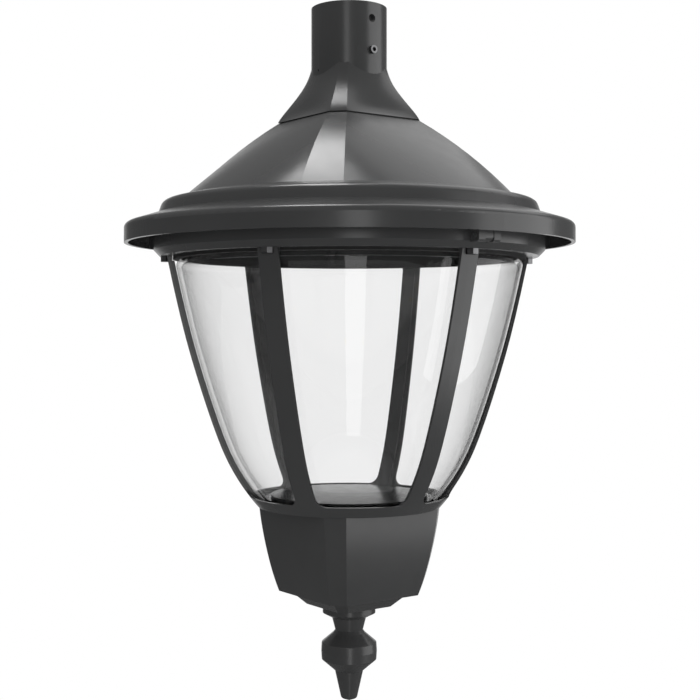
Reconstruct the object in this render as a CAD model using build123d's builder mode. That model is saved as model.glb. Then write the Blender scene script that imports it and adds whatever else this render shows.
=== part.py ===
from build123d import *
from math import atan2, cos, hypot, radians, sin
import os

# Hanging lantern: pipe neck, domed canopy, hinged frame with a clear bowl, cup and finial.
# Millimetres. The origin is the centre of the pipe socket's mouth, and +Z points up.
# The hinge, the set screw and the four-sided parts' first face are on +X.

os.makedirs("parts", exist_ok=True)

# Clearances
running_fit = 0.05
thread_play = 0.05
clear_fit = 0.3
bowl_gap = 0.4
swing_play = 0.6
hole_end_room = 1.0

# Four-sided sections: square with chamfered corners, sizes as corner radii
side_angle = 90
corner_angle = side_angle / 2
corner_half_angle = 6.6
flat_face = 0.786

# Pipe neck: the flare as (rise above its foot, growth beyond the tube, face ratio)
socket_radius = 32.0
socket_wall = 6.2
socket_depth = 75.0
passage_radius = 20.0
passage_length = 6.0
flare_height = 39.4
neck_flare = (
    (56.4, -0.6, 0.95),
    (49.4, 1.3, 0.93),
    (43.4, 3.5, 0.916),
    (34.4, 8.2, 0.885),
    (24.9, 14.8, 0.84),
    (15.8, 22.1, 0.79),
    (0.0, 34.0, flat_face),
)
neck_foot_wall = 10.75
neck_cavity_lip = 8.4
set_screw_radius = 4.0
set_screw_proud = 3.5
set_screw_tip_gap = 0.2
set_screw_depth = 47.4
spare_hole_depth = 16.1
set_screw_socket = 4.0
set_screw_socket_depth = 4.5
drain_radius = 1.0
drain_rise = 9.0
neck_bolt_inset = 10.0
neck_bolt_radius = 3.0
neck_bolt_grip = 9.8
neck_bolt_head_radius = 5.0
neck_bolt_head_height = 6.0
neck_gasket_thickness = 1.2
neck_gasket_inset = 1.8
tube_radius = socket_radius + socket_wall
neck_height = socket_depth + flare_height
neck_foot_radius = tube_radius + neck_flare[-1][1]
neck_cavity_radius = neck_foot_radius * flat_face - neck_foot_wall
neck_bolt_circle = neck_cavity_radius + neck_bolt_inset
set_screw_start = socket_radius + set_screw_tip_gap
set_screw_length = socket_wall + set_screw_proud - set_screw_tip_gap

# Ring that joins canopy and cage: its outer radius drives canopy, cage, bowl and cup
ring_radius = 196.0
ring_wall = 4.5
ring_depth = 24.0
ring_height = 28.9
ring_inner_wall = 5.0
ring_floor = 4.4
ring_lip_drop = 2.0
guide_reach = 4.8
guide_top_drop = 5.5
guide_radius = 4.5
guide_draft = 3.7
guide_web = 5.0
guide_web_length = 6.0
ring_inner_radius = ring_radius - ring_depth

# Canopy
dome_height = 76.8
dome_bulge = 4.1
dome_wall_drop = 5.0
dome_steps = 6
shoulder_width = 21.4
shoulder_drop = 4.9
shoulder_fillet = 8.0
shoulder_lean = 4.3
shoulder_height = 12.2
wall_foot_inset = 4.1
brim_overhang = 29.3
brim_slope = 10.3
brim_fillet = 6.0
brim_height = 18.4
brim_wall = 4.0
seat_drop = 4.5
seat_overlap = 4.0
seat_thickness = 8.0
gasket_thickness = 2.5
dome_top = -(neck_height + neck_gasket_thickness)
dome_base = dome_top - dome_height
shoulder_level = dome_base - shoulder_drop
wall_foot_level = shoulder_level - shoulder_height
brim_top = wall_foot_level - brim_slope
brim_bottom = brim_top - brim_height
seat_bottom = wall_foot_level - seat_drop
wall_foot_radius = ring_radius - wall_foot_inset
shoulder_radius = wall_foot_radius - shoulder_lean
dome_base_radius = shoulder_radius - shoulder_width
brim_radius = ring_radius + brim_overhang
seat_inner_radius = ring_inner_radius - seat_overlap
ring_top = seat_bottom - gasket_thickness
ring_bottom = ring_top - ring_height

# Cable gland in the canopy's top
gland_hole_radius = 16.0
gland_bore_radius = 5.0
gland_hex_radius = 20.5
gland_hex_height = 7.0
gland_cap_radius = 15.0
gland_cap_height = 9.0
gland_cap_draft = 12
gland_nut_height = 5.0

# Gear tray
tray_drop = 3.7
tray_thickness = 2.5
tray_gap = 8.0
tray_rim_height = 9.0
tray_boss_inset = 30.0
tray_boss_radius = 6.0
tray_screw_radius = 2.0
tray_screw_thread = 8.0
tray_screw_head_radius = 3.8
tray_screw_head_height = 2.6
driver_length = 120.0
driver_width = 58.0
driver_height = 30.0
driver_corner = 4.0
driver_edge = 1.5
driver_offset = -52.0
driver_ear = 10.0
driver_ear_width = 19.0
driver_ear_thickness = 2.0
surge_length = 46.0
surge_width = 34.0
surge_height = 24.0
surge_corner = 3.0
surge_lid_inset = 3.0
surge_lid_height = 2.0
surge_place = (-48.0, 40.0)
terminal_length = 48.0
terminal_width = 20.0
terminal_height = 18.0
terminal_place = (36.0, 42.0)
terminal_poles = 3
terminal_hole_radius = 3.0
earth_place = (96.0, 10.0)
earth_radius = 2.5
earth_head_radius = 5.0
earth_washer_radius = 7.0
earth_washer_thickness = 1.2
earth_head_height = 3.5
tray_top = shoulder_level - tray_drop
tray_bottom = tray_top - tray_thickness
tray_radius = seat_inner_radius - tray_gap
tray_boss_circle = tray_radius - tray_boss_inset

# Light module below the tray
board_inset = 56.0
board_thickness = 1.6
source_size = 5.0
source_height = 0.8
source_count = 12
source_inset = 28.0
lens_rim = 14.0
lens_wall = 2.5
lens_bump_radius = 11.0
lens_bump_height = 3.0
lens_bump_draft = 45
lens_screw_count = 6
board_radius = tray_radius - board_inset
source_circle = board_radius - source_inset
lens_radius = board_radius + lens_rim
lens_screw_circle = (board_radius + clear_fit + lens_radius) / 2

# Cage: the curve of its outside as (share of its height, inset from the ring's radius)
strap_count = 6
cage_ring_height = 6.1
cage_ring_step = 1.6
cage_ring_overlap = 2.0
cage_chamfer = 6.0
cage_height = 250.0
strap_width = 20.0
strap_thickness = 2.9
rib_width = 11.0
rib_depth = 3.6
rib_top_gap = 1.5
strap_root_height = 4.0
strap_root_gap = 0.9
foot_height = 10.6
foot_floor = 3.5
window_fillet = 9.0
cage_profile = (
    (0.0, 13.0),
    (0.19, 23.4),
    (0.358, 33.9),
    (0.526, 46.4),
    (0.695, 60.6),
    (0.808, 72.1),
    (0.922, 88.6),
    (1.0, 103.7),
)
bolt_inset = 12.0
bolt_radius = 3.0
bolt_thread = 12.0
bolt_boss_radius = 6.8
bolt_boss_end = 2.0
bolt_hex = 10.0
bolt_head_height = 5.0
cage_ring_bottom = ring_bottom - cage_ring_height
cage_ring_inner_radius = ring_inner_radius + cage_ring_step
foot_bottom = cage_ring_bottom - cage_height
foot_top = foot_bottom + foot_height
cage_curve = [
    (ring_radius - offset, cage_ring_bottom - share * cage_height)
    for share, offset in cage_profile
]
foot_radius = cage_curve[-1][0]
bolt_circle = ring_radius - bolt_inset

# Hinge bracket on +X and closure on -X
hinge_reach = 6.0
hinge_rise = 4.6
cheek_width = 7.8
cheek_reach = 5.5
cheek_rise = 8.8
cheek_drop = 5.8
cheek_slope = 4.0
cheek_fillet = 3.0
hinge_gap = 10.4
hinge_pin_radius = 2.5
tongue_side_gap = 0.4
tongue_inset = 5.0
tongue_end_gap = 0.5
tongue_reach = 5.5
tongue_root_inner = 1.0
tongue_root_outer = 4.0
ear_half_width = 13.0
ear_thickness = 10.1
ear_fillet = 2.0
closure_radius = 3.0
closure_boss_wall = 1.7
closure_boss_root = 1.7
closure_insert = 9.5
closure_hex = 10.0
closure_head_height = 5.0
hinge_x = ring_radius + hinge_reach
hinge_z = ring_bottom + hinge_rise
hinge_outer_x = hinge_x + cheek_reach
cheek_top = hinge_z + cheek_rise
cheek_bottom = hinge_z - cheek_drop
pin_length = hinge_gap + 2 * cheek_width
tongue_width = hinge_gap - 2 * tongue_side_gap
tongue_inner_x = hinge_x - tongue_inset
tongue_outer_x = hinge_outer_x - tongue_end_gap
ear_top = cheek_bottom + ear_thickness
closure_boss_radius = closure_radius + swing_play + closure_boss_wall

# Clear bowl and its seals
bowl_wall = 4.0
bowl_mouth_inset = 8.1
bowl_round_height = 7.0
bowl_round_width = 5.1
bowl_seat_width = 13.0
foot_seal_thickness = 1.0
foot_seal_inset = 1.0
seal_thickness = 2.5
seal_seat_width = 3.4
seal_lip_height = 1.4
disc_inset = 13.3
disc_crown = 5.2
disc_edge = 2.0
disc_wall = 3.0
disc_boss_radius = 14.0
disc_boss_reach = 1.5
clamp_seal_width = 9.0
rod_radius = 5.0
rod_end_room = 1.0
bowl_top = cage_ring_bottom - seal_thickness
bowl_foot = foot_bottom + foot_floor + foot_seal_thickness
bowl_mouth_radius = cage_ring_inner_radius - bowl_mouth_inset
seal_outer_radius = cage_ring_inner_radius + seal_seat_width
strap_root_radius = seal_outer_radius + strap_root_gap
disc_radius = foot_radius - disc_inset
bowl_foot_inner_radius = disc_radius - bowl_seat_width
clamp_seal_top = bowl_foot + bowl_wall + foot_seal_thickness
guide_circle = ring_inner_radius - guide_reach
guide_bottom = cage_ring_bottom + seal_lip_height + clear_fit
guide_top = ring_top - guide_top_drop

# Cup: its corners as (share of its height, inset from the cage's foot), then the plinth
cup_wall = 3.5
cup_floor = 4.0
cup_height = 87.6
cup_profile = (
    (0.0, 1.0),
    (0.24, 3.7),
    (0.448, 7.2),
    (0.656, 11.5),
    (0.864, 16.9),
    (1.0, 21.3),
)
plinth_height = 12.9
plinth_inset = 11.5
plinth_taper = 16.7
cup_bottom = foot_bottom - cup_height
cup_corners = [
    (foot_radius - offset, foot_bottom - share * cup_height) for share, offset in cup_profile
]
plinth_top_radius = cup_corners[-1][0] - plinth_inset
plinth_bottom_radius = plinth_top_radius - plinth_taper
finial_top = cup_bottom - plinth_height

# Finial: profile as (radius, depth below its top, bend radius)
finial_hole_depth = 18.0
finial_length = 97.3
finial_profile = (
    (26.7, 0.0, 0),
    (26.7, 7.6, 0),
    (17.3, 12.6, 0),
    (14.0, 25.2, 0),
    (16.2, 28.0, 0),
    (27.7, 37.7, 1),
    (28.2, 46.0, 0),
    (27.7, 54.6, 1),
    (14.3, 66.2, 0),
    (8.0, 94.1, 3),
)


def polar(radius, angle):
    """Point at a radius and an angle in degrees."""
    return (radius * cos(radians(angle)), radius * sin(radians(angle)))


def four_sided(level, corner_radius, face_ratio=flat_face):
    """Section of the four-sided parts; a face ratio of 1 makes it round."""
    with BuildSketch(Plane.XY.offset(level), mode=Mode.PRIVATE) as section:
        with BuildLine():
            for quarter in range(4):
                corner = corner_angle + side_angle * quarter
                face_start = polar(corner_radius, corner + corner_half_angle)
                face_middle = polar(face_ratio * corner_radius, corner + corner_angle)
                face_end = polar(corner_radius, corner + side_angle - corner_half_angle)
                Line(polar(corner_radius, corner - corner_half_angle), face_start)
                ThreePointArc(face_start, face_middle, face_end)
        make_face()
    return section.sketch


def turned(*points):
    """Half profile for a revolve, as (radius, level) points."""
    with BuildSketch(Plane.XZ, mode=Mode.PRIVATE) as profile:
        with BuildLine():
            Polyline(*points, close=True)
        make_face()
    return profile.sketch


def inset(curve, distance):
    """Points of a curve moved inward along its normals."""
    moved = []
    last = len(curve) - 1
    for index, (radius, level) in enumerate(curve):
        before = curve[max(index - 1, 0)]
        after = curve[min(index + 1, last)]
        lean = atan2(before[0] - after[0], before[1] - after[1])
        moved.append((radius - distance * cos(lean), level + distance * sin(lean)))
    return moved


def at_level(curve, level):
    """Point of a curve at a level, on the straight line between its points."""
    pairs = list(zip(curve, curve[1:]))
    above, below = next((pair for pair in pairs if level >= pair[1][1]), pairs[-1])
    share = (above[1] - level) / (above[1] - below[1])
    return (above[0] + share * (below[0] - above[0]), level)


def side_between(curve, top, bottom):
    """Points of a falling curve between two levels, ends included."""
    inner = [point for point in curve if bottom + 1 < point[1] < top - 1]
    return [at_level(curve, top), *inner, at_level(curve, bottom)]


def headed_screw(radius, length, head, hexagonal=False):
    """Screw along +Z with its head, as (radius or width, height), below level 0."""
    head_size, head_height = head
    with BuildPart(mode=Mode.PRIVATE) as screw:
        with BuildSketch(Plane.XY.offset(-head_height)):
            if hexagonal:
                RegularPolygon(head_size / 2, 6, major_radius=False, rotation=30)
            else:
                Circle(head_size)
        extrude(amount=head_height)
        with BuildSketch(Plane.XY):
            Circle(radius)
        extrude(amount=length)
    return screw.part


def arc_points(start, middle, end, steps):
    """Evenly spaced points on the arc through three (radius, level) points."""
    with BuildLine(mode=Mode.PRIVATE) as line:
        ThreePointArc(start, middle, end)
    arc = line.line
    points = [arc @ (step / steps) for step in range(steps + 1)]
    return [(point.X, point.Y) for point in points]


def dome_sections(drop):
    """Sections of the dome, flat-faced at its top and round at its base."""
    width = dome_base_radius - neck_foot_radius
    chord = hypot(width, dome_height)
    middle = (
        neck_foot_radius + width / 2 + dome_bulge * dome_height / chord,
        dome_top - dome_height / 2 + dome_bulge * width / chord,
    )
    outline = arc_points(
        (neck_foot_radius, dome_top), middle, (dome_base_radius, dome_base), dome_steps
    )
    sections = []
    for radius, level in outline:
        share = (radius - neck_foot_radius) / width
        ratio = flat_face + (1 - flat_face) * share
        sections.append(four_sided(level - drop, radius, ratio))
    return sections


# Neck: socket tube on a flared skirt, cored from below
with BuildPart() as neck_casting:
    loft(
        sections=[
            four_sided(rise - neck_height, tube_radius + growth, ratio)
            for rise, growth, ratio in neck_flare
        ]
    )
    with BuildSketch():
        Circle(tube_radius)
    extrude(amount=-socket_depth - passage_length)
    revolve(
        turned(
            (0, 0),
            (socket_radius, 0),
            (socket_radius, -socket_depth),
            (passage_radius, -socket_depth),
            (passage_radius, -socket_depth - passage_length),
            (neck_cavity_radius, neck_cavity_lip - neck_height),
            (neck_cavity_radius, -neck_height),
            (0, -neck_height),
        ),
        axis=Axis.Z,
        mode=Mode.SUBTRACT,
    )
    for depth in (set_screw_depth, spare_hole_depth):
        with BuildSketch(Plane.YZ.offset(socket_radius - set_screw_radius)):
            with Locations((0, -depth)):
                Circle(set_screw_radius)
        extrude(amount=tube_radius, mode=Mode.SUBTRACT)
    with BuildSketch(Plane.XZ.offset(socket_radius - set_screw_radius)):
        with Locations((0, drain_rise - socket_depth)):
            Circle(drain_radius)
    extrude(amount=tube_radius, mode=Mode.SUBTRACT)
    with BuildSketch(Plane.XY.offset(-neck_height)):
        with PolarLocations(neck_bolt_circle, 4, start_angle=corner_angle):
            Circle(neck_bolt_radius)
    extrude(amount=neck_bolt_grip + hole_end_room, mode=Mode.SUBTRACT)

neck_casting.part.label = "neck_casting"
export_step(neck_casting.part, "parts/neck_casting.step")

# Set screw in the lower hole, its tip just short of the bore
with BuildPart() as set_screw:
    with BuildSketch(Plane.YZ.offset(set_screw_start)):
        with Locations((0, -set_screw_depth)):
            Circle(set_screw_radius - thread_play)
    extrude(amount=set_screw_length)
    with BuildSketch(Plane.YZ.offset(set_screw_start + set_screw_length)):
        with Locations((0, -set_screw_depth)):
            RegularPolygon(set_screw_socket / 2, 6, major_radius=False)
    extrude(amount=-set_screw_socket_depth, mode=Mode.SUBTRACT)

set_screw.part.label = "set_screw"
export_step(set_screw.part, "parts/set_screw.step")

# Gasket between neck and canopy
with BuildPart() as neck_gasket:
    with BuildSketch(Plane.XY.offset(dome_top)):
        add(four_sided(0, neck_foot_radius - neck_gasket_inset))
        Circle(neck_cavity_radius, mode=Mode.SUBTRACT)
        with PolarLocations(neck_bolt_circle, 4, start_angle=corner_angle):
            Circle(neck_bolt_radius + clear_fit, mode=Mode.SUBTRACT)
    extrude(amount=neck_gasket_thickness)

neck_gasket.part.label = "neck_gasket"
export_step(neck_gasket.part, "parts/neck_gasket.step")

# Hollow of the canopy, with the bosses for the gear tray left standing
canopy_inner_top = dome_top - dome_wall_drop
with BuildPart() as canopy_hollow:
    loft(sections=dome_sections(dome_wall_drop))
    revolve(
        turned(
            (0, dome_base - dome_wall_drop),
            (dome_base_radius, dome_base - dome_wall_drop),
            (shoulder_radius - brim_wall, shoulder_level - brim_wall),
            (shoulder_radius - brim_wall, seat_bottom + seat_thickness),
            (seat_inner_radius, seat_bottom + seat_thickness),
            (seat_inner_radius, seat_bottom),
            (0, seat_bottom),
        ),
        axis=Axis.Z,
    )
    with BuildSketch(Plane.XY.offset(tray_top)):
        with PolarLocations(tray_boss_circle, 6, start_angle=30):
            Circle(tray_boss_radius)
    extrude(amount=canopy_inner_top - tray_top, mode=Mode.SUBTRACT)
    with BuildSketch(Plane.XY.offset(tray_top)):
        with PolarLocations(tray_boss_circle, 6, start_angle=30):
            Circle(tray_screw_radius)
    extrude(amount=tray_screw_thread + hole_end_room)

# Canopy: dome, shoulder, brim, gasket seat, hinge tongue and closure boss
with BuildPart() as canopy_casting:
    loft(sections=dome_sections(0))
    with BuildSketch(Plane.XZ):
        with BuildLine():
            FilletPolyline(
                (0, dome_base),
                (dome_base_radius, dome_base),
                (shoulder_radius, shoulder_level),
                (wall_foot_radius, wall_foot_level),
                (brim_radius, brim_top),
                (brim_radius, brim_bottom),
                (brim_radius - brim_wall, brim_bottom),
                (brim_radius - brim_wall, brim_top - brim_wall),
                (wall_foot_radius - brim_wall, seat_bottom),
                (0, seat_bottom),
                radius=(0, 0, shoulder_fillet, 0, brim_fillet, 0, 0, 0, 0, 0),
                close=True,
            )
        make_face()
    revolve(axis=Axis.Z)
    add(canopy_hollow.part, mode=Mode.SUBTRACT)
    with BuildSketch(Plane.XY.offset(dome_top)):
        Circle(gland_hole_radius)
        with PolarLocations(neck_bolt_circle, 4, start_angle=corner_angle):
            Circle(neck_bolt_radius + clear_fit)
    extrude(amount=-dome_wall_drop, mode=Mode.SUBTRACT)
    with BuildSketch(Plane.XZ.offset(-tongue_width / 2)):
        with BuildLine():
            Polyline(
                (tongue_inner_x, hinge_z),
                (tongue_inner_x, seat_bottom - tongue_root_inner),
                (tongue_outer_x, seat_bottom - tongue_root_outer),
                (tongue_outer_x, hinge_z),
            )
            ThreePointArc(
                (tongue_outer_x, hinge_z),
                ((tongue_inner_x + tongue_outer_x) / 2, hinge_z - tongue_reach),
                (tongue_inner_x, hinge_z),
            )
        make_face()
    extrude(amount=tongue_width)
    with BuildSketch(Plane.XZ.offset(-tongue_width / 2)):
        with Locations((hinge_x, hinge_z)):
            Circle(hinge_pin_radius + running_fit)
    extrude(amount=tongue_width, mode=Mode.SUBTRACT)
    with BuildSketch(Plane.XY.offset(ear_top + clear_fit)):
        with Locations((-hinge_x, 0)):
            Circle(closure_boss_radius)
    extrude(amount=seat_bottom - closure_boss_root - ear_top - clear_fit)
    with BuildSketch(Plane.XY.offset(ear_top + clear_fit)):
        with Locations((-hinge_x, 0)):
            Circle(closure_radius + swing_play)
    extrude(amount=closure_insert + closure_radius + swing_play, mode=Mode.SUBTRACT)

canopy_casting.part.label = "canopy_casting"
export_step(canopy_casting.part, "parts/canopy_casting.step")

# Bolts that hold the neck, put in from inside the canopy
with BuildPart() as neck_bolts:
    neck_bolt = headed_screw(
        neck_bolt_radius,
        dome_wall_drop + neck_gasket_thickness + neck_bolt_grip,
        (neck_bolt_head_radius, neck_bolt_head_height),
    )
    with Locations((0, 0, canopy_inner_top)):
        with PolarLocations(neck_bolt_circle, 4, start_angle=corner_angle):
            add(neck_bolt)

neck_bolts.part.label = "neck_bolts"
export_step(neck_bolts.part, "parts/neck_bolts.step")

# Cable gland: hexagon and cap in the neck's hollow, nut inside the canopy
with BuildPart() as cable_gland:
    with BuildSketch(Plane.XY.offset(dome_top)):
        RegularPolygon(gland_hex_radius, 6)
    extrude(amount=gland_hex_height)
    with BuildSketch(Plane.XY.offset(dome_top + gland_hex_height)):
        Circle(gland_cap_radius)
    extrude(amount=gland_cap_height, taper=gland_cap_draft)
    with BuildSketch(Plane.XY.offset(dome_top)):
        Circle(gland_hole_radius)
    extrude(amount=-dome_wall_drop)
    with BuildSketch(Plane.XY.offset(canopy_inner_top)):
        RegularPolygon(gland_hex_radius, 6)
    extrude(amount=-gland_nut_height)
    with BuildSketch(Plane.XY.offset(canopy_inner_top - gland_nut_height)):
        Circle(gland_bore_radius)
    extrude(
        amount=gland_nut_height + dome_wall_drop + gland_hex_height + gland_cap_height,
        mode=Mode.SUBTRACT,
    )

cable_gland.part.label = "cable_gland"
export_step(cable_gland.part, "parts/cable_gland.step")

# Gasket between the canopy's seat and the ring
with BuildPart() as canopy_gasket:
    with BuildSketch(Plane.XY.offset(ring_top)):
        Circle(ring_inner_radius + ring_inner_wall)
        Circle(ring_inner_radius, mode=Mode.SUBTRACT)
    extrude(amount=gasket_thickness)

canopy_gasket.part.label = "canopy_gasket"
export_step(canopy_gasket.part, "parts/canopy_gasket.step")

# Gear tray: pressed disc with a folded rim
with BuildPart() as gear_tray:
    with BuildSketch(Plane.XY.offset(tray_bottom)):
        Circle(tray_radius)
        with PolarLocations(tray_boss_circle, 6, start_angle=30):
            Circle(tray_screw_radius + clear_fit, mode=Mode.SUBTRACT)
        with PolarLocations(lens_screw_circle, lens_screw_count):
            Circle(tray_screw_radius, mode=Mode.SUBTRACT)
        with Locations(earth_place):
            Circle(earth_radius, mode=Mode.SUBTRACT)
    extrude(amount=tray_thickness)
    with BuildSketch(Plane.XY.offset(tray_bottom)):
        Circle(tray_radius)
        Circle(tray_radius - tray_thickness, mode=Mode.SUBTRACT)
    extrude(amount=tray_rim_height)

gear_tray.part.label = "gear_tray"
export_step(gear_tray.part, "parts/gear_tray.step")

with BuildPart() as tray_screws:
    tray_screw = headed_screw(
        tray_screw_radius,
        tray_thickness + tray_screw_thread,
        (tray_screw_head_radius, tray_screw_head_height),
    )
    with Locations((0, 0, tray_bottom)):
        with PolarLocations(tray_boss_circle, 6, start_angle=30):
            add(tray_screw)

tray_screws.part.label = "tray_screws"
export_step(tray_screws.part, "parts/tray_screws.step")

# Driver with two fixing ears
with BuildPart() as driver:
    with BuildSketch(Plane.XY.offset(tray_top)):
        with Locations((0, driver_offset)):
            RectangleRounded(driver_length, driver_width, driver_corner)
    extrude(amount=driver_height)
    fillet(driver.faces().sort_by(Axis.Z)[-1].edges(), driver_edge)
    with BuildSketch(Plane.XY.offset(tray_top)):
        with Locations((0, driver_offset)):
            Rectangle(driver_length + 2 * driver_ear, driver_ear_width)
            with GridLocations(driver_length + driver_ear, 0, 2, 1):
                Circle(tray_screw_radius + clear_fit, mode=Mode.SUBTRACT)
    extrude(amount=driver_ear_thickness)

driver.part.label = "driver"
export_step(driver.part, "parts/driver.step")

# Surge protector: potted block with a stepped lid
with BuildPart() as surge_protector:
    with BuildSketch(Plane.XY.offset(tray_top)):
        with Locations(surge_place):
            RectangleRounded(surge_length, surge_width, surge_corner)
    extrude(amount=surge_height)
    with BuildSketch(Plane.XY.offset(tray_top + surge_height)):
        with Locations(surge_place):
            RectangleRounded(
                surge_length - 2 * surge_lid_inset,
                surge_width - 2 * surge_lid_inset,
                surge_corner,
            )
    extrude(amount=surge_lid_height)

surge_protector.part.label = "surge_protector"
export_step(surge_protector.part, "parts/surge_protector.step")

# Terminal block with a wire hole and a screw hole for each pole
pole_pitch = terminal_length / terminal_poles
with BuildPart() as terminal_block:
    with BuildSketch(Plane.XY.offset(tray_top)):
        with Locations(terminal_place):
            Rectangle(terminal_length, terminal_width)
    extrude(amount=terminal_height)
    with BuildSketch(Plane.XY.offset(tray_top + terminal_height)):
        with Locations(terminal_place):
            with GridLocations(pole_pitch, 0, terminal_poles, 1):
                Circle(terminal_hole_radius)
    extrude(amount=-terminal_height / 2, mode=Mode.SUBTRACT)

terminal_block.part.label = "terminal_block"
export_step(terminal_block.part, "parts/terminal_block.step")

# Earth screw with its washer
with BuildPart() as earth_screw:
    with Locations((*earth_place, tray_top)):
        add(
            headed_screw(
                earth_radius,
                tray_thickness,
                (earth_washer_radius, earth_washer_thickness),
            ).rotate(Axis.X, 180)
        )
    with BuildSketch(Plane.XY.offset(tray_top + earth_washer_thickness)):
        with Locations(earth_place):
            Circle(earth_head_radius)
    extrude(amount=earth_head_height)

earth_screw.part.label = "earth_screw"
export_step(earth_screw.part, "parts/earth_screw.step")

# Light board under the tray with its sources
with BuildPart() as light_board:
    with BuildSketch(Plane.XY.offset(tray_bottom - board_thickness)):
        Circle(board_radius)
    extrude(amount=board_thickness)

light_board.part.label = "light_board"
export_step(light_board.part, "parts/light_board.step")

source_top = tray_bottom - board_thickness
with BuildPart() as light_sources:
    with BuildSketch(Plane.XY.offset(source_top)):
        with PolarLocations(source_circle, source_count):
            Rectangle(source_size, source_size)
    extrude(amount=-source_height)

light_sources.part.label = "light_sources"
export_step(light_sources.part, "parts/light_sources.step")

# Lens plate: shallow cap with a bump below each source
lens_plate_top = source_top - source_height - clear_fit
lens_plate_bottom = lens_plate_top - lens_wall
with BuildPart() as lens_plate:
    revolve(
        turned(
            (0, lens_plate_top),
            (board_radius + clear_fit, lens_plate_top),
            (board_radius + clear_fit, tray_bottom),
            (lens_radius, tray_bottom),
            (lens_radius, lens_plate_bottom),
            (0, lens_plate_bottom),
        ),
        axis=Axis.Z,
    )
    with BuildSketch(Plane.XY.offset(lens_plate_bottom)):
        with PolarLocations(source_circle, source_count):
            Circle(lens_bump_radius)
    extrude(amount=-lens_bump_height, taper=lens_bump_draft)
    with BuildSketch(Plane.XY.offset(lens_plate_bottom)):
        with PolarLocations(lens_screw_circle, lens_screw_count):
            Circle(tray_screw_radius + clear_fit)
    extrude(amount=tray_bottom - lens_plate_bottom, mode=Mode.SUBTRACT)

lens_plate.part.label = "lens_plate"
export_step(lens_plate.part, "parts/lens_plate.step")

with BuildPart() as lens_screws:
    lens_screw = headed_screw(
        tray_screw_radius,
        tray_bottom - lens_plate_bottom + tray_thickness,
        (tray_screw_head_radius, tray_screw_head_height),
    )
    with Locations((0, 0, lens_plate_bottom)):
        with PolarLocations(lens_screw_circle, lens_screw_count):
            add(lens_screw)

lens_screws.part.label = "lens_screws"
export_step(lens_screws.part, "parts/lens_screws.step")

# Ring: cast channel with bolt bosses, guide bosses, hinge cheeks and closure ear
bracket_root = ring_radius - ring_wall / 2
cheek_offsets = (-(hinge_gap + cheek_width) / 2, (hinge_gap + cheek_width) / 2)
with BuildPart() as body_ring:
    revolve(
        turned(
            (ring_inner_radius, ring_top),
            (ring_inner_radius + ring_inner_wall, ring_top),
            (ring_inner_radius + ring_inner_wall, ring_bottom + ring_floor),
            (ring_radius - ring_wall, ring_bottom + ring_floor),
            (ring_radius - ring_wall, ring_top - ring_lip_drop),
            (ring_radius, ring_top - ring_lip_drop),
            (ring_radius, ring_bottom),
            (ring_inner_radius, ring_bottom),
        ),
        axis=Axis.Z,
    )
    with BuildSketch(Plane.XY.offset(ring_bottom)):
        with PolarLocations(bolt_circle, strap_count):
            Circle(bolt_boss_radius)
    extrude(amount=bolt_thread + hole_end_room + bolt_boss_end)
    with BuildSketch(Plane.XY.offset(ring_bottom)):
        with PolarLocations(bolt_circle, strap_count):
            Circle(bolt_radius)
    extrude(amount=bolt_thread + hole_end_room, mode=Mode.SUBTRACT)
    with BuildSketch(Plane.XY.offset(guide_bottom)):
        with PolarLocations(guide_circle, strap_count, start_angle=30):
            Circle(guide_radius)
        with PolarLocations(guide_circle + guide_web_length / 2, strap_count, start_angle=30):
            Rectangle(guide_web_length, guide_web)
    extrude(amount=guide_top - guide_bottom, taper=-guide_draft)
    for offset in cheek_offsets:
        with BuildSketch(Plane.XZ.offset(-offset - cheek_width / 2)):
            with BuildLine():
                FilletPolyline(
                    (bracket_root, ring_bottom),
                    (ring_radius + clear_fit, ring_bottom),
                    (ring_radius + clear_fit, cheek_bottom),
                    (hinge_outer_x, cheek_bottom),
                    (hinge_outer_x, cheek_top),
                    (bracket_root, cheek_top + cheek_slope),
                    radius=(0, 0, 0, cheek_fillet, cheek_slope, 0),
                    close=True,
                )
            make_face()
        extrude(amount=cheek_width)
    with BuildSketch(Plane.XZ.offset(-pin_length / 2)):
        with Locations((hinge_x, hinge_z)):
            Circle(hinge_pin_radius)
    extrude(amount=pin_length, mode=Mode.SUBTRACT)
    with BuildSketch(Plane.XZ.offset(-ear_half_width)):
        with BuildLine():
            FilletPolyline(
                (-bracket_root, ring_bottom),
                (-ring_radius - clear_fit, ring_bottom),
                (-ring_radius - clear_fit, cheek_bottom),
                (-hinge_outer_x, cheek_bottom),
                (-hinge_outer_x, ear_top),
                (-bracket_root, ear_top),
                radius=(0, 0, 0, ear_fillet, ear_fillet, 0),
                close=True,
            )
        make_face()
    extrude(amount=2 * ear_half_width)
    with BuildSketch(Plane.XY.offset(cheek_bottom)):
        with Locations((-hinge_x, 0)):
            Circle(closure_radius + clear_fit)
    extrude(amount=ear_top - cheek_bottom, mode=Mode.SUBTRACT)

body_ring.part.label = "body_ring"
export_step(body_ring.part, "parts/body_ring.step")

# Hinge pin, tight in the cheeks and free in the tongue
with BuildPart() as hinge_pin:
    with BuildSketch(Plane.XZ.offset(-pin_length / 2)):
        with Locations((hinge_x, hinge_z)):
            Circle(hinge_pin_radius)
    extrude(amount=pin_length)

hinge_pin.part.label = "hinge_pin"
export_step(hinge_pin.part, "parts/hinge_pin.step")

# Closure screw, captive in the ear
closure_reach = ear_top - cheek_bottom + closure_insert
with BuildPart() as closure_screw:
    with Locations((-hinge_x, 0, cheek_bottom)):
        add(
            headed_screw(
                closure_radius,
                closure_reach,
                (closure_hex, closure_head_height),
                hexagonal=True,
            )
        )

closure_screw.part.label = "closure_screw"
export_step(closure_screw.part, "parts/closure_screw.step")

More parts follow.
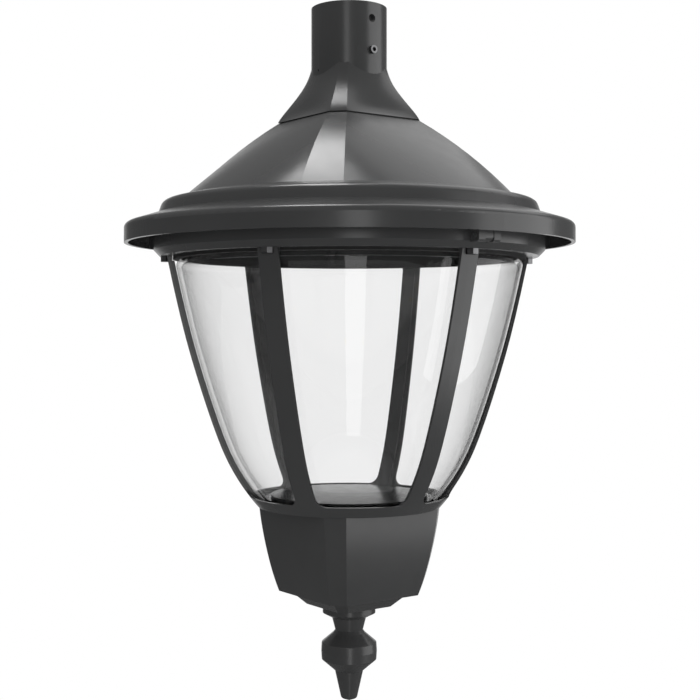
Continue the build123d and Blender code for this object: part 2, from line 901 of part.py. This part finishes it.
# Mask for the cage: six strips above a whole foot, with rounded window corners
mask_inner_radius = foot_radius / 2
mask_length = ring_radius - mask_inner_radius
with BuildPart() as strap_mask:
    with BuildSketch(Plane.XY.offset(foot_bottom)):
        Circle(ring_radius + window_fillet)
    extrude(amount=foot_top - foot_bottom)
    with BuildSketch(Plane.XY.offset(foot_top)):
        with PolarLocations(mask_inner_radius + mask_length / 2, strap_count):
            Rectangle(mask_length, strap_width)
    extrude(amount=ring_bottom - foot_top)
    strip_sides = [
        edge
        for edge in strap_mask.edges().filter_by(GeomType.LINE)
        if abs(edge.center().Z - foot_top) < 0.01 and edge.length > 2 * strap_width
    ]
    fillet(strip_sides, window_fillet)

# Ribs on the inner side of the straps, from below the seal to the foot's floor
rib_outer = inset(cage_curve, strap_thickness / 2)
rib_inner = inset(cage_curve, strap_thickness + rib_depth)
rib_top = cage_ring_bottom - seal_thickness - rib_top_gap
with BuildPart() as strap_ribs:
    with BuildSketch(Plane.XZ):
        with BuildLine():
            Spline(*rib_outer)
            Line(rib_outer[-1], rib_inner[-1])
            Spline(*rib_inner)
            Line(rib_inner[0], rib_outer[0])
        make_face()
    revolve(axis=Axis.Z)
    with BuildSketch(Plane.XY.offset(foot_bottom + foot_floor / 2)):
        with PolarLocations(mask_inner_radius + mask_length / 2, strap_count):
            Rectangle(mask_length, rib_width)
    extrude(amount=rib_top - foot_bottom - foot_floor / 2, mode=Mode.INTERSECT)

# Cage: a turned shell cut into six straps between the ring and the foot
bolt_corner_radius = bolt_hex / 2 / cos(radians(30))
inner_curve = inset(cage_curve, strap_thickness)
cage_shell_top = ring_bottom - cage_ring_overlap
with BuildPart() as cage_casting:
    with BuildSketch(Plane.XZ):
        with BuildLine():
            Spline(*cage_curve)
            Polyline(cage_curve[-1], (inner_curve[-1][0], foot_bottom), inner_curve[-1])
            Spline(*inner_curve)
            Polyline(
                inner_curve[0],
                (inner_curve[0][0], cage_shell_top),
                (cage_curve[0][0], cage_shell_top),
                cage_curve[0],
            )
        make_face()
    revolve(axis=Axis.Z)
    add(strap_mask.part, mode=Mode.INTERSECT)
    floor_top = at_level(cage_curve, foot_bottom + foot_floor)
    revolve(
        turned(
            (disc_boss_radius + clear_fit, foot_bottom),
            (foot_radius - strap_thickness / 2, foot_bottom),
            (floor_top[0] - strap_thickness / 2, floor_top[1]),
            (disc_boss_radius + clear_fit, floor_top[1]),
        ),
        axis=Axis.Z,
    )
    revolve(
        turned(
            (cage_ring_inner_radius, ring_bottom),
            (ring_radius, ring_bottom),
            (ring_radius - cage_chamfer, cage_ring_bottom),
            (cage_ring_inner_radius, cage_ring_bottom),
        ),
        axis=Axis.Z,
    )
    add(strap_ribs.part)
    root_depth = cage_curve[0][0] - strap_thickness / 2 - strap_root_radius
    with BuildSketch(Plane.XY.offset(cage_ring_bottom - strap_root_height)):
        with PolarLocations(strap_root_radius + root_depth / 2, strap_count):
            Rectangle(root_depth, strap_width)
    extrude(amount=strap_root_height)
    with BuildSketch(Plane.XY.offset(cage_ring_bottom)):
        with PolarLocations(bolt_circle, strap_count):
            Circle(bolt_corner_radius + clear_fit)
    extrude(amount=-bolt_head_height - clear_fit, mode=Mode.SUBTRACT)
    with BuildSketch(Plane.XY.offset(ring_bottom)):
        with PolarLocations(bolt_circle, strap_count):
            Circle(bolt_radius + clear_fit)
    extrude(amount=cage_ring_bottom - ring_bottom, mode=Mode.SUBTRACT)

cage_casting.part.label = "cage_casting"
export_step(cage_casting.part, "parts/cage_casting.step")

# Hex bolts that hold the cage to the ring
with BuildPart() as cage_bolts:
    cage_bolt = headed_screw(
        bolt_radius,
        ring_bottom - cage_ring_bottom + bolt_thread,
        (bolt_hex, bolt_head_height),
        hexagonal=True,
    )
    with Locations((0, 0, cage_ring_bottom)):
        with PolarLocations(bolt_circle, strap_count):
            add(cage_bolt)

cage_bolts.part.label = "cage_bolts"
export_step(cage_bolts.part, "parts/cage_bolts.step")

# Upper bowl seal, with a lip that rises inside the cage ring
with BuildPart() as bowl_seal:
    revolve(
        turned(
            (bowl_mouth_radius, bowl_top),
            (seal_outer_radius, bowl_top),
            (seal_outer_radius, cage_ring_bottom),
            (cage_ring_inner_radius - clear_fit, cage_ring_bottom),
            (cage_ring_inner_radius - clear_fit, cage_ring_bottom + seal_lip_height),
            (bowl_mouth_radius, cage_ring_bottom + seal_lip_height),
        ),
        axis=Axis.Z,
    )

bowl_seal.part.label = "bowl_seal"
export_step(bowl_seal.part, "parts/bowl_seal.step")

# Clear bowl: follows the straps at a small gap and turns in at mouth and foot
bowl_side_top = bowl_top - bowl_round_height
outer_side = side_between(
    inset(cage_curve, strap_thickness + rib_depth + bowl_gap), bowl_side_top, bowl_foot
)
inner_side = side_between(
    inset(cage_curve, strap_thickness + rib_depth + bowl_gap + bowl_wall),
    bowl_side_top - bowl_wall / 2,
    bowl_foot + bowl_wall,
)
bowl_shoulder_start = outer_side[0][0] - bowl_round_width
bowl_shoulder = (
    bowl_shoulder_start + bowl_round_width * sin(radians(corner_angle)),
    bowl_top - bowl_round_height * (1 - cos(radians(corner_angle))),
)
inner_shoulder = (bowl_shoulder[0] - bowl_wall, bowl_shoulder[1] - bowl_wall)
with BuildPart() as clear_bowl:
    with BuildSketch(Plane.XZ):
        with BuildLine():
            ThreePointArc((bowl_shoulder_start, bowl_top), bowl_shoulder, outer_side[0])
            Spline(*outer_side)
            Polyline(
                outer_side[-1],
                (bowl_foot_inner_radius, bowl_foot),
                (bowl_foot_inner_radius, bowl_foot + bowl_wall),
                inner_side[-1],
            )
            Spline(*inner_side)
            ThreePointArc(
                inner_side[0],
                inner_shoulder,
                (bowl_mouth_radius, bowl_top - bowl_wall),
            )
            Polyline(
                (bowl_mouth_radius, bowl_top - bowl_wall),
                (bowl_mouth_radius, bowl_top),
                (bowl_shoulder_start, bowl_top),
            )
        make_face()
    revolve(axis=Axis.Z)

clear_bowl.part.label = "clear_bowl"
export_step(clear_bowl.part, "parts/clear_bowl.step")

with BuildPart() as foot_seal:
    with BuildSketch(Plane.XY.offset(bowl_foot)):
        Circle(outer_side[-1][0] - foot_seal_inset)
        Circle(bowl_foot_inner_radius, mode=Mode.SUBTRACT)
    extrude(amount=-foot_seal_thickness)

foot_seal.part.label = "foot_seal"
export_step(foot_seal.part, "parts/foot_seal.step")

# Clamp disc over the bowl's foot, with a threaded boss for the rod
with BuildPart() as clamp_seal:
    with BuildSketch(Plane.XY.offset(clamp_seal_top)):
        Circle(disc_radius - foot_seal_inset)
        Circle(disc_radius - foot_seal_inset - clamp_seal_width, mode=Mode.SUBTRACT)
    extrude(amount=-foot_seal_thickness)

clamp_seal.part.label = "clamp_seal"
export_step(clamp_seal.part, "parts/clamp_seal.step")

disc_rim_top = clamp_seal_top + disc_edge
disc_top = clamp_seal_top + disc_crown
disc_boss_bottom = foot_bottom - disc_boss_reach
with BuildPart() as clamp_disc:
    with BuildSketch(Plane.XZ):
        with BuildLine():
            Line((0, disc_top - disc_wall), (0, disc_top))
            TangentArc((0, disc_top), (disc_radius, disc_rim_top), tangent=(1, 0))
            Polyline(
                (disc_radius, disc_rim_top),
                (disc_radius, clamp_seal_top),
                (bowl_foot_inner_radius, clamp_seal_top),
                (disc_boss_radius, disc_top - disc_wall),
                (disc_boss_radius, disc_boss_bottom),
                (rod_radius, disc_boss_bottom),
                (rod_radius, disc_top - disc_wall),
                (0, disc_top - disc_wall),
            )
        make_face()
    revolve(axis=Axis.Z)

clamp_disc.part.label = "clamp_disc"
export_step(clamp_disc.part, "parts/clamp_disc.step")

# Rod that draws disc, cage, cup, plinth and finial together
rod_top = disc_top - disc_wall - rod_end_room
rod_length = rod_top - (finial_top - finial_hole_depth + rod_end_room)
with BuildPart() as tie_rod:
    with Locations((0, 0, rod_top - rod_length / 2)):
        Cylinder(rod_radius, rod_length)

tie_rod.part.label = "tie_rod"
export_step(tie_rod.part, "parts/tie_rod.step")

# Cup: four-sided tapered shell, open at the top, with a floor
cup_hollow_step = cup_wall / flat_face
with BuildPart() as cup_casting:
    loft(sections=[four_sided(level, radius) for radius, level in cup_corners])
    inside = side_between(cup_corners, foot_bottom, cup_bottom + cup_floor)
    loft(
        sections=[four_sided(level, radius - cup_hollow_step) for radius, level in inside],
        mode=Mode.SUBTRACT,
    )
    with Locations((0, 0, cup_bottom)):
        Cylinder(rod_radius + clear_fit, 4 * cup_floor, mode=Mode.SUBTRACT)

cup_casting.part.label = "cup_casting"
export_step(cup_casting.part, "parts/cup_casting.step")

# Plinth: four-sided frustum between cup and finial
with BuildPart() as cup_plinth:
    loft(
        sections=[
            four_sided(cup_bottom, plinth_top_radius),
            four_sided(finial_top, plinth_bottom_radius),
        ]
    )
    with Locations((0, 0, cup_bottom)):
        Cylinder(rod_radius + clear_fit, 4 * plinth_height, mode=Mode.SUBTRACT)

cup_plinth.part.label = "cup_plinth"
export_step(cup_plinth.part, "parts/cup_plinth.step")

# Turned finial, threaded on the rod
with BuildPart() as finial:
    with BuildSketch(Plane.XZ):
        with BuildLine():
            FilletPolyline(
                (0, finial_top),
                *((radius, finial_top - depth) for radius, depth, _ in finial_profile),
                (0, finial_top - finial_length),
                radius=(0, *(bend for _, _, bend in finial_profile), 0),
                close=True,
            )
        make_face()
    revolve(axis=Axis.Z)
    with Locations((0, 0, finial_top)):
        Cylinder(rod_radius, 2 * finial_hole_depth, mode=Mode.SUBTRACT)

finial.part.label = "finial"
export_step(finial.part, "parts/finial.step")
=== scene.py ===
"""Looks of the hanging lantern: materials for the frame's pieces, camera and studio."""

from math import cos, pi, radians, sin

import bmesh
import bpy
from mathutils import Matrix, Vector

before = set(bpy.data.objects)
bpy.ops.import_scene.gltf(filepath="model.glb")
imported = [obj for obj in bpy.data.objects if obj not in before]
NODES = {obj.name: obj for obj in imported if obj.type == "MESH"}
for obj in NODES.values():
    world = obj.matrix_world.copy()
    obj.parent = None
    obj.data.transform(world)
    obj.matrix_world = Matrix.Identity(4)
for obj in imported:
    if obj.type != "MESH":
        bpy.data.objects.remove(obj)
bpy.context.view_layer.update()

# Camera, from the photograph: 700 x 700 pixels
IMAGE_SIZE = 700
FOCAL_PIXELS = 1275.7
PRINCIPAL_POINT = (328.03, 330.34)
CAMERA_AZIMUTH = radians(54.2)
CAMERA_DISTANCE = 1.2916
CAMERA_OFFSET = 0.0213
CAMERA_LEVEL = -0.3248
SENSOR = 36.0

# Studio: levels of light, where 1 is white, and edges as the share of a mirrored ray's direction
# that points up for the ceiling, and away from the camera for the backdrop
FLOOR_LEVEL = -2.6
FLOOR_SIZE = 14.0
FLOOR_CELLS = 8
FLOOR_COLOR = (0.86, 0.86, 0.86)
FLOOR_ROUGHNESS = 0.9
FILL_LEVEL = 0.58
ROOM_LEVEL = 0.12
CEILING_LEVEL = 0.35
CEILING_EDGES = (0.1, 0.8)
BACKDROP_EDGE = 0.85

# Lamps: name, place and target as (right, towards the camera, up), size in metres, watts
LAMPS = (
    ("key", (1.58, -0.087, -0.24), (0.73, -0.62, -0.24), (1.83, 1.64), 15.0),
    ("strip", (0.122, 2.2, -1.08), (0, 0, -1.08), (0.525, 2.7), 8.0),
    ("upper", (-0.32, 2.2, 0.47), (0, 0, 0.47), (0.55, 0.4), 1.5),
    ("top", (-0.33, -0.32, 1.9), (0, 0, -0.1), (0.7, 0.8), 16.0),
    ("rear", (1.3, -1.4, 2.1), (0, 0, -0.1), (3.0, 2.4), 17.0),
)

# Noises: roughness, detail, the spread of values that a ramp covers, and scales per metre
NOISE_ROUGHNESS = 0.55
NOISE_DETAIL = 4.0
NOISE_SPREAD = (0.3, 0.7)
HAZE_SCALE = 6.0
RUBBER_SCALE = 300.0
METAL_SCALE = 220.0
TRAY_SCALE = 40.0
MOULDED_SCALE = 160.0
GRAIN_DEPTH = 0.0002

# Powder coat: cloudy colour, gloss, orange peel, and convex edges painted paler as a painted
# highlight
CLOUD_SCALE = 9.0
CLOUD_SPREAD = (0.35, 0.65)
COAT_DARK = (0.042, 0.0425, 0.043)
COAT_LIGHT = (0.047, 0.0475, 0.048)
GLOSS_SCALE = 60.0
COAT_GLOSS = (0.22, 0.27)
PEEL_SCALE = 900.0
PEEL_DETAIL = 2.0
PEEL_STRENGTH = 0.06
PEEL_DEPTH = 0.0001
# Painted highlight: the paler colour, pointiness span and share that light up convex edges
EDGE_HIGHLIGHT_COLOR = (0.06, 0.061, 0.063)
EDGE_HIGHLIGHT_SPAN = (0.56, 0.75)
EDGE_HIGHLIGHT_SHARE = 0.5


def new_material(name, values):
    """Material with a principled shader whose plain sockets are set."""
    material = bpy.data.materials.new(name)
    material.use_nodes = True
    shader = material.node_tree.nodes["Principled BSDF"]
    for socket, value in values.items():
        shader.inputs[socket].default_value = value
    return material, material.node_tree, shader


def object_noise(tree, scale, detail=NOISE_DETAIL):
    """Noise on object coordinates."""
    coordinates = tree.nodes.new("ShaderNodeTexCoord")
    noise = tree.nodes.new("ShaderNodeTexNoise")
    noise.inputs["Scale"].default_value = scale
    noise.inputs["Detail"].default_value = detail
    noise.inputs["Roughness"].default_value = NOISE_ROUGHNESS
    tree.links.new(coordinates.outputs["Object"], noise.inputs["Vector"])
    return noise.outputs["Fac"]


def color_ramp(tree, factor, dark, light, spread=NOISE_SPREAD):
    """Ramp between two colours over a spread of a factor."""
    ramp = tree.nodes.new("ShaderNodeValToRGB")
    for element, position, color in zip(ramp.color_ramp.elements, spread, (dark, light)):
        element.position = position
        element.color = (*color, 1)
    tree.links.new(factor, ramp.inputs["Fac"])
    return ramp.outputs["Color"]


def value_ramp(tree, factor, low, high, spread=NOISE_SPREAD):
    """Ramp between two values over a spread of a factor."""
    ramp = tree.nodes.new("ShaderNodeMapRange")
    ramp.inputs["From Min"].default_value = spread[0]
    ramp.inputs["From Max"].default_value = spread[1]
    ramp.inputs["To Min"].default_value = low
    ramp.inputs["To Max"].default_value = high
    tree.links.new(factor, ramp.inputs["Value"])
    return ramp


def add_bump(tree, shader, height, strength, depth):
    """Bump on a shader's normal."""
    bump = tree.nodes.new("ShaderNodeBump")
    bump.inputs["Strength"].default_value = strength
    bump.inputs["Distance"].default_value = depth
    tree.links.new(height, bump.inputs["Height"])
    tree.links.new(bump.outputs["Normal"], shader.inputs["Normal"])


def powder_coat():
    """Anthracite powder coat: fine orange peel, faint tone shifts, and convex edges painted
    paler as a painted highlight.
    """
    material, tree, shader = new_material("powder_coat", {"Specular IOR Level": 0.5})
    cloud = color_ramp(
        tree, object_noise(tree, CLOUD_SCALE), COAT_DARK, COAT_LIGHT, CLOUD_SPREAD
    )
    # Painted highlight: convex edges are made paler by pointiness, standing in for light caught
    # on the edges
    edge = tree.nodes.new("ShaderNodeNewGeometry")
    edge_highlight = value_ramp(tree, edge.outputs["Pointiness"], 0, EDGE_HIGHLIGHT_SHARE, EDGE_HIGHLIGHT_SPAN)
    blend = tree.nodes.new("ShaderNodeMix")
    blend.data_type = "RGBA"
    blend.inputs["B"].default_value = (*EDGE_HIGHLIGHT_COLOR, 1)
    tree.links.new(edge_highlight.outputs["Result"], blend.inputs["Factor"])
    tree.links.new(cloud, blend.inputs["A"])
    tree.links.new(blend.outputs["Result"], shader.inputs["Base Color"])
    gloss = value_ramp(tree, object_noise(tree, GLOSS_SCALE), *COAT_GLOSS)
    tree.links.new(gloss.outputs["Result"], shader.inputs["Roughness"])
    peel = object_noise(tree, PEEL_SCALE, PEEL_DETAIL)
    add_bump(tree, shader, peel, PEEL_STRENGTH, PEEL_DEPTH)
    return material


def clear_plastic():
    """Clear moulding: light goes straight through, and its skins mirror the room."""
    material, tree, shader = new_material(
        "clear_plastic",
        {
            "Transmission Weight": 1.0,
            "IOR": 1.0,
            "Roughness": 0.0,
            "Coat Weight": 1.0,
            "Coat Roughness": 0.012,
            "Coat IOR": 1.5,
        },
    )
    haze = object_noise(tree, HAZE_SCALE)
    tint = color_ramp(tree, haze, (0.972, 0.973, 0.974), (0.978, 0.978, 0.978))
    tree.links.new(tint, shader.inputs["Base Color"])
    return material


def grained(name, values, scale, dark, light, gloss, bump):
    """Material whose colour, roughness and surface all follow one noise."""
    material, tree, shader = new_material(name, values)
    grain = object_noise(tree, scale)
    tree.links.new(color_ramp(tree, grain, dark, light), shader.inputs["Base Color"])
    roughness = value_ramp(tree, grain, *gloss)
    tree.links.new(roughness.outputs["Result"], shader.inputs["Roughness"])
    add_bump(tree, shader, grain, bump, GRAIN_DEPTH)
    return material


def rubber():
    """Matt black rubber with a fine grain."""
    dark, light = (0.012, 0.012, 0.012), (0.022, 0.022, 0.022)
    values = {"Specular IOR Level": 0.3}
    return grained("rubber", values, RUBBER_SCALE, dark, light, (0.65, 0.8), 0.1)


def metal(name, dark, light, gloss, scale=METAL_SCALE):
    """Bare or blackened metal with faint streaks."""
    return grained(name, {"Metallic": 1.0}, scale, dark, light, gloss, 0.05)


def moulded(name, dark, light, gloss):
    """Moulded plastic or enamel with a slight texture."""
    return grained(name, {"Specular IOR Level": 0.45}, MOULDED_SCALE, dark, light, gloss, 0.08)


MATERIALS = {
    "paint": powder_coat(),
    "clear": clear_plastic(),
    "rubber": rubber(),
    "zinc": metal("zinc", (0.55, 0.56, 0.58), (0.68, 0.69, 0.70), (0.28, 0.38)),
    "black_steel": metal("black_steel", (0.16, 0.16, 0.165), (0.24, 0.24, 0.245), (0.3, 0.42)),
    "tray": metal("tray", (0.66, 0.67, 0.69), (0.78, 0.79, 0.80), (0.35, 0.45), TRAY_SCALE),
    "white_shell": moulded("white_shell", (0.74, 0.74, 0.72), (0.80, 0.80, 0.78), (0.42, 0.5)),
    "black_shell": moulded("black_shell", (0.02, 0.02, 0.02), (0.035, 0.035, 0.035), (0.4, 0.5)),
    "solder_mask": moulded("solder_mask", (0.80, 0.80, 0.78), (0.86, 0.86, 0.84), (0.25, 0.32)),
    "phosphor": moulded("phosphor", (0.80, 0.62, 0.10), (0.90, 0.72, 0.16), (0.2, 0.28)),
}

NODE_MATERIALS = {
    "paint": (
        "neck_casting",
        "canopy_casting",
        "body_ring",
        "cage_casting",
        "clamp_disc",
        "cup_casting",
        "cup_plinth",
        "finial",
    ),
    "clear": ("clear_bowl", "lens_plate"),
    "rubber": ("neck_gasket", "canopy_gasket", "bowl_seal", "foot_seal", "clamp_seal"),
    "zinc": ("neck_bolts", "tray_screws", "lens_screws", "earth_screw", "hinge_pin", "tie_rod"),
    "black_steel": ("set_screw", "closure_screw", "cage_bolts"),
    "tray": ("gear_tray",),
    "white_shell": ("driver", "surge_protector", "terminal_block"),
    "black_shell": ("cable_gland",),
    "solder_mask": ("light_board",),
    "phosphor": ("light_sources",),
}


def dress(piece, material):
    """Gives a piece one material."""
    piece.data.materials.clear()
    piece.data.materials.append(material)


for material_name, node_names in NODE_MATERIALS.items():
    for node_name in node_names:
        dress(NODES[node_name], MATERIALS[material_name])


def set_camera():
    """Horizontal camera at the photograph's place, with the photograph's framing."""
    back = Vector((sin(CAMERA_AZIMUTH), -cos(CAMERA_AZIMUTH), 0))
    right = Vector((cos(CAMERA_AZIMUTH), sin(CAMERA_AZIMUTH), 0))
    data = bpy.data.cameras.new("camera")
    data.sensor_width = SENSOR
    data.lens = SENSOR * FOCAL_PIXELS / IMAGE_SIZE
    data.shift_x = (IMAGE_SIZE / 2 - PRINCIPAL_POINT[0]) / IMAGE_SIZE
    data.shift_y = (PRINCIPAL_POINT[1] - IMAGE_SIZE / 2) / IMAGE_SIZE
    camera = bpy.data.objects.new("camera", data)
    camera.location = back * CAMERA_DISTANCE - right * CAMERA_OFFSET
    camera.location.z = CAMERA_LEVEL
    camera.rotation_euler = (pi / 2, 0, CAMERA_AZIMUTH)
    bpy.context.scene.collection.objects.link(camera)
    bpy.context.scene.camera = camera
    return back, right


def math_node(tree, operation, first, second):
    """Math node on two sockets or numbers, its result kept between 0 and 1."""
    node = tree.nodes.new("ShaderNodeMath")
    node.operation = operation
    node.use_clamp = True
    for socket, value in zip(node.inputs, (first, second)):
        if isinstance(value, (int, float)):
            socket.default_value = value
        else:
            tree.links.new(value, socket)
    return node.outputs["Value"]


def light_paths(tree):
    """Shares of a ray that sees the background itself, and that sees it mirrored."""
    path = tree.nodes.new("ShaderNodeLightPath").outputs
    undiffused = math_node(tree, "SUBTRACT", 1.0, path["Diffuse Depth"])
    mirrored = math_node(tree, "MULTIPLY", path["Glossy Depth"], undiffused)
    seen = math_node(tree, "MAXIMUM", path["Is Camera Ray"], path["Is Transmission Ray"])
    seen = math_node(tree, "MULTIPLY", seen, undiffused)
    seen = math_node(tree, "SUBTRACT", seen, mirrored)
    return seen, mirrored


def blend_values(tree, factor, first, second):
    """Mix of two numbers or sockets by a factor socket."""
    mix = tree.nodes.new("ShaderNodeMix")
    tree.links.new(factor, mix.inputs["Factor"])
    for name, value in (("A", first), ("B", second)):
        if isinstance(value, (int, float)):
            mix.inputs[name].default_value = value
        else:
            tree.links.new(value, mix.inputs[name])
    return mix.outputs["Result"]


def soft_box(name, place, target, size, power):
    """Rectangular lamp that looks at a point, and that shows only where it is mirrored."""
    data = bpy.data.lights.new(name, "AREA")
    data.shape = "RECTANGLE"
    data.size = size[0]
    data.size_y = size[1]
    data.energy = power
    lamp = bpy.data.objects.new(name, data)
    lamp.visible_camera = False
    lamp.visible_transmission = False
    lamp.location = place
    lamp.rotation_euler = (target - place).to_track_quat("-Z", "Y").to_euler()
    bpy.context.scene.collection.objects.link(lamp)


def set_world(back):
    """White background, a plain soft fill, and for reflections a room with a white backdrop."""
    world = bpy.data.worlds.new("studio")
    bpy.context.scene.world = world
    world.use_nodes = True
    tree = world.node_tree
    tree.nodes.clear()
    seen, mirrored = light_paths(tree)
    direction = tree.nodes.new("ShaderNodeTexCoord")
    behind = tree.nodes.new("ShaderNodeVectorMath")
    behind.operation = "DOT_PRODUCT"
    behind.inputs[1].default_value = -back
    tree.links.new(direction.outputs["Generated"], behind.inputs[0])
    room = value_ramp(tree, behind.outputs["Value"], 0, 1, (BACKDROP_EDGE, 1))
    room.interpolation_type = "SMOOTHSTEP"
    height = tree.nodes.new("ShaderNodeSeparateXYZ")
    tree.links.new(direction.outputs["Generated"], height.inputs["Vector"])
    ceiling = value_ramp(tree, height.outputs["Z"], ROOM_LEVEL, CEILING_LEVEL, CEILING_EDGES)
    ceiling.interpolation_type = "SMOOTHSTEP"
    tree.links.new(ceiling.outputs["Result"], room.inputs["To Min"])
    level = blend_values(tree, mirrored, FILL_LEVEL, room.outputs["Result"])
    level = blend_values(tree, seen, level, 1.0)
    light = tree.nodes.new("ShaderNodeBackground")
    light.inputs["Color"].default_value = (1, 1, 1, 1)
    output = tree.nodes.new("ShaderNodeOutputWorld")
    tree.links.new(level, light.inputs["Strength"])
    tree.links.new(light.outputs["Background"], output.inputs["Surface"])


def set_floor():
    """Pale floor far below the hanging lantern."""
    mesh = bpy.data.meshes.new("floor")
    shape = bmesh.new()
    bmesh.ops.create_grid(
        shape, x_segments=FLOOR_CELLS, y_segments=FLOOR_CELLS, size=FLOOR_SIZE / 2
    )
    shape.to_mesh(mesh)
    shape.free()
    floor = bpy.data.objects.new("floor", mesh)
    floor.location.z = FLOOR_LEVEL
    bpy.context.scene.collection.objects.link(floor)
    material, tree, shader = new_material("floor", {"Roughness": FLOOR_ROUGHNESS})
    shader.inputs["Base Color"].default_value = (*FLOOR_COLOR, 1)
    glow = tree.nodes.new("ShaderNodeEmission")
    mix = tree.nodes.new("ShaderNodeMixShader")
    output = tree.nodes["Material Output"]
    tree.links.new(light_paths(tree)[0], mix.inputs["Fac"])
    tree.links.new(shader.outputs["BSDF"], mix.inputs[1])
    tree.links.new(glow.outputs["Emission"], mix.inputs[2])
    tree.links.new(mix.outputs["Shader"], output.inputs["Surface"])
    mesh.materials.append(material)
    floor.visible_glossy = False


def set_lamps(back, right):
    """Places the soft boxes in the camera's own directions."""

    def place(sideways, towards, height):
        return right * sideways + back * towards + Vector((0, 0, height))

    for name, spot, target, size, power in LAMPS:
        soft_box(name, place(*spot), place(*target), size, power)


bpy.context.scene.view_settings.view_transform = "Standard"
BACK, RIGHT = set_camera()
set_world(BACK)
set_floor()
set_lamps(BACK, RIGHT)
